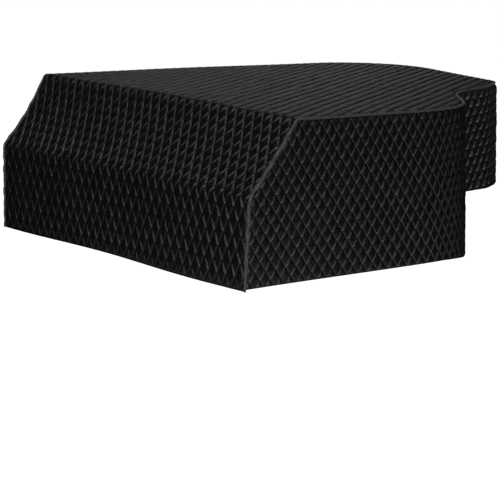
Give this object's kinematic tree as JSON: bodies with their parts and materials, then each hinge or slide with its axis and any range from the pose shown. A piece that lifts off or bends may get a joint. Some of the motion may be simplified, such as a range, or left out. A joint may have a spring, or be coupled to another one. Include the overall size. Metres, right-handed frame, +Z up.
{
  "type": "fitted grand piano cover",
  "caption": "Hollow fitted cover of quilted cloth for a closed grand piano, with a slope over the keys, a piped seam and a shorter drop round the tail.",
  "frame": {"origin": "the middle of the piano's lid, on the underside of the cover's top, where the lid carries it", "axes": "+Y from the keys toward the tail, +X toward the treble side, the player's right, +Z up"},
  "size_m": [1.4952, 1.8021, 0.5644],
  "materials": {
    "quilted_cloth": "matt woven synthetic, quilted in diamonds over a thin wadding",
    "piping_cloth": "smooth woven synthetic, slightly sheeny"
  },
  "bodies": {
    "root": {"top_and_front_panel": "quilted_cloth", "treble_side_panel": "quilted_cloth", "tail_panel": "quilted_cloth", "bass_side_panel": "quilted_cloth", "seam_piping": "piping_cloth"}
  },
  "joints": []
}
